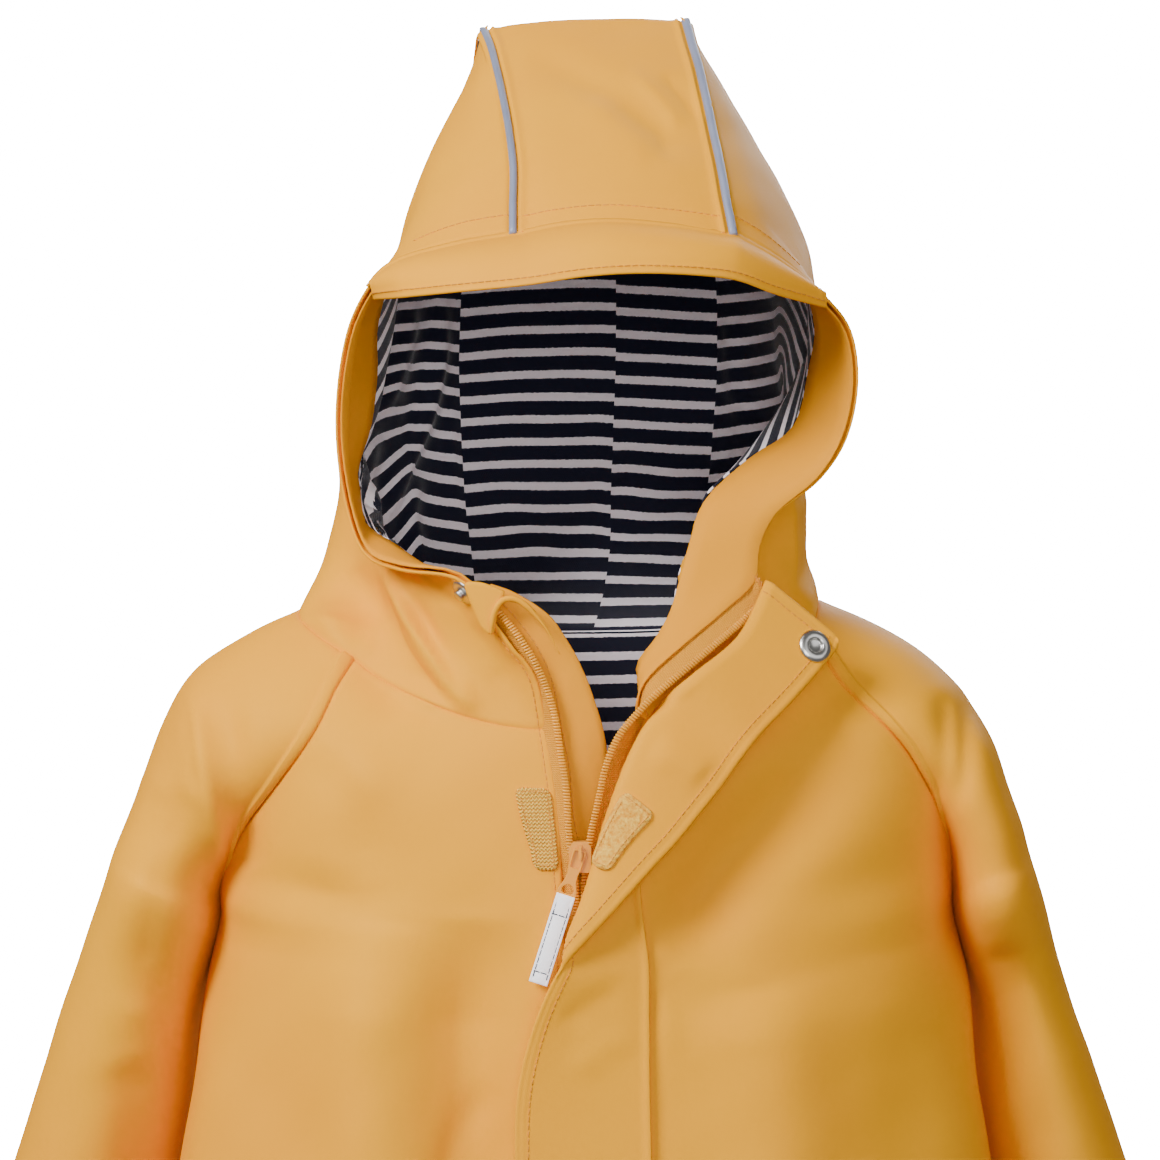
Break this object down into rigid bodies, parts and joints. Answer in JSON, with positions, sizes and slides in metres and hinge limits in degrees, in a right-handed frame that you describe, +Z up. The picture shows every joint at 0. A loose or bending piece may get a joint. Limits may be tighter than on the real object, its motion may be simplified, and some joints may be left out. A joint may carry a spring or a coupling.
{
  "type": "kids raincoat",
  "caption": "Child's hooded raincoat in coated cloth with raglan sleeves, visor, storm flap, jersey lining and a zip open at the throat, filled out with no wearer.",
  "frame": {"origin": "middle of the neck, level with the points where the hood meets the shoulders, where a wearer's neck holds the coat up", "axes": "+Z up, -Y towards the front of the coat, +X towards the wearer's left, which is the viewer's right"},
  "size_m": [0.5838, 0.2409, 0.7694],
  "materials": {
    "shell_cloth": "coated woven cloth, soft sheen",
    "jersey": "striped knitted jersey",
    "piping_tape": "reflective tape",
    "hook_tape": "hook and loop tape",
    "white_tape": "woven tape",
    "zip_plastic": "moulded",
    "metal": "satin"
  },
  "bodies": {
    "coat": {"front_right": "shell_cloth", "front_left": "shell_cloth", "sleeve_right": "shell_cloth", "sleeve_left": "shell_cloth", "back_panel": "shell_cloth", "hood_side_right": "shell_cloth", "hood_side_left": "shell_cloth", "hood_centre": "shell_cloth", "hood_facing_right": "shell_cloth", "hood_facing_left": "shell_cloth", "hood_lining_right": "jersey", "hood_lining_left": "jersey", "hood_lining_centre_right": "jersey", "hood_lining_centre_left": "jersey", "back_lining": "jersey", "hood_visor": "shell_cloth", "storm_flap": "shell_cloth", "zip_teeth_right": "zip_plastic", "zip_teeth_left": "zip_plastic", "zip_guard": "shell_cloth", "loop_patch": "hook_tape", "hook_patch": "hook_tape", "piping_right": "piping_tape", "piping_left": "piping_tape", "snap_socket": "metal", "snap_cap": "metal", "snap_stud": "metal", "zip_garage": "shell_cloth", "zip_slider": "metal"},
    "pull": {"pull_puller": "metal", "pull_tab": "white_tape"}
  },
  "joints": [
    {"name": "pull_swing", "type": "hinge", "parent": "coat", "child": "pull", "pos_m": [0, -0.09685, -0.1022], "axis": [0.9532, 0, -0.3024], "range_deg": [-120, 0]}
  ]
}
